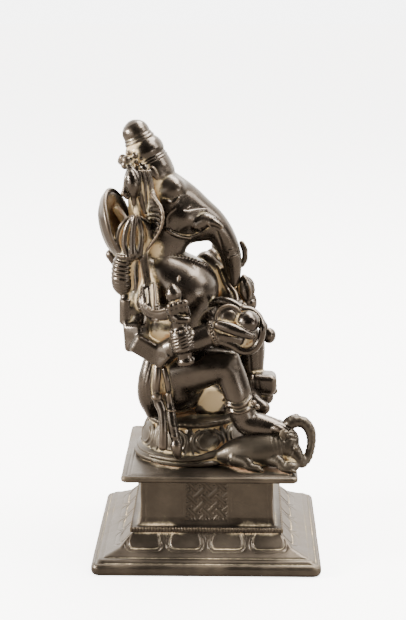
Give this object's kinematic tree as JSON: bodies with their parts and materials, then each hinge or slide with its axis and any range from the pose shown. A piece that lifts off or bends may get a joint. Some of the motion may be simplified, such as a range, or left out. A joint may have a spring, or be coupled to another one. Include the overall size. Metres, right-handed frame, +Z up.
{
  "type": "ganapati and consort statue",
  "caption": "Small cast bronze statue of an elephant-headed seated figure with a consort on the left thigh, on a lotus seat with a rat, standing on a square waisted plinth",
  "frame": {"origin": "centre of the plinth's underside, in the plane it stands on", "axes": "+X is the way the figures face, +Y is the figures' left side, +Z is up"},
  "size_m": [0.08, 0.0774, 0.1533],
  "materials": {
    "plinth_bronze": "dark brown patinated bronze, satin, greyish on the flats, olive and tan residue in the cut lines",
    "figure_bronze": "dark brown to black patinated bronze, handled glossy, warm brown where worn, tan and copper-orange residue in the recesses"
  },
  "bodies": {
    "root": {"plinth": "plinth_bronze", "figure_group": "figure_bronze"}
  },
  "joints": []
}
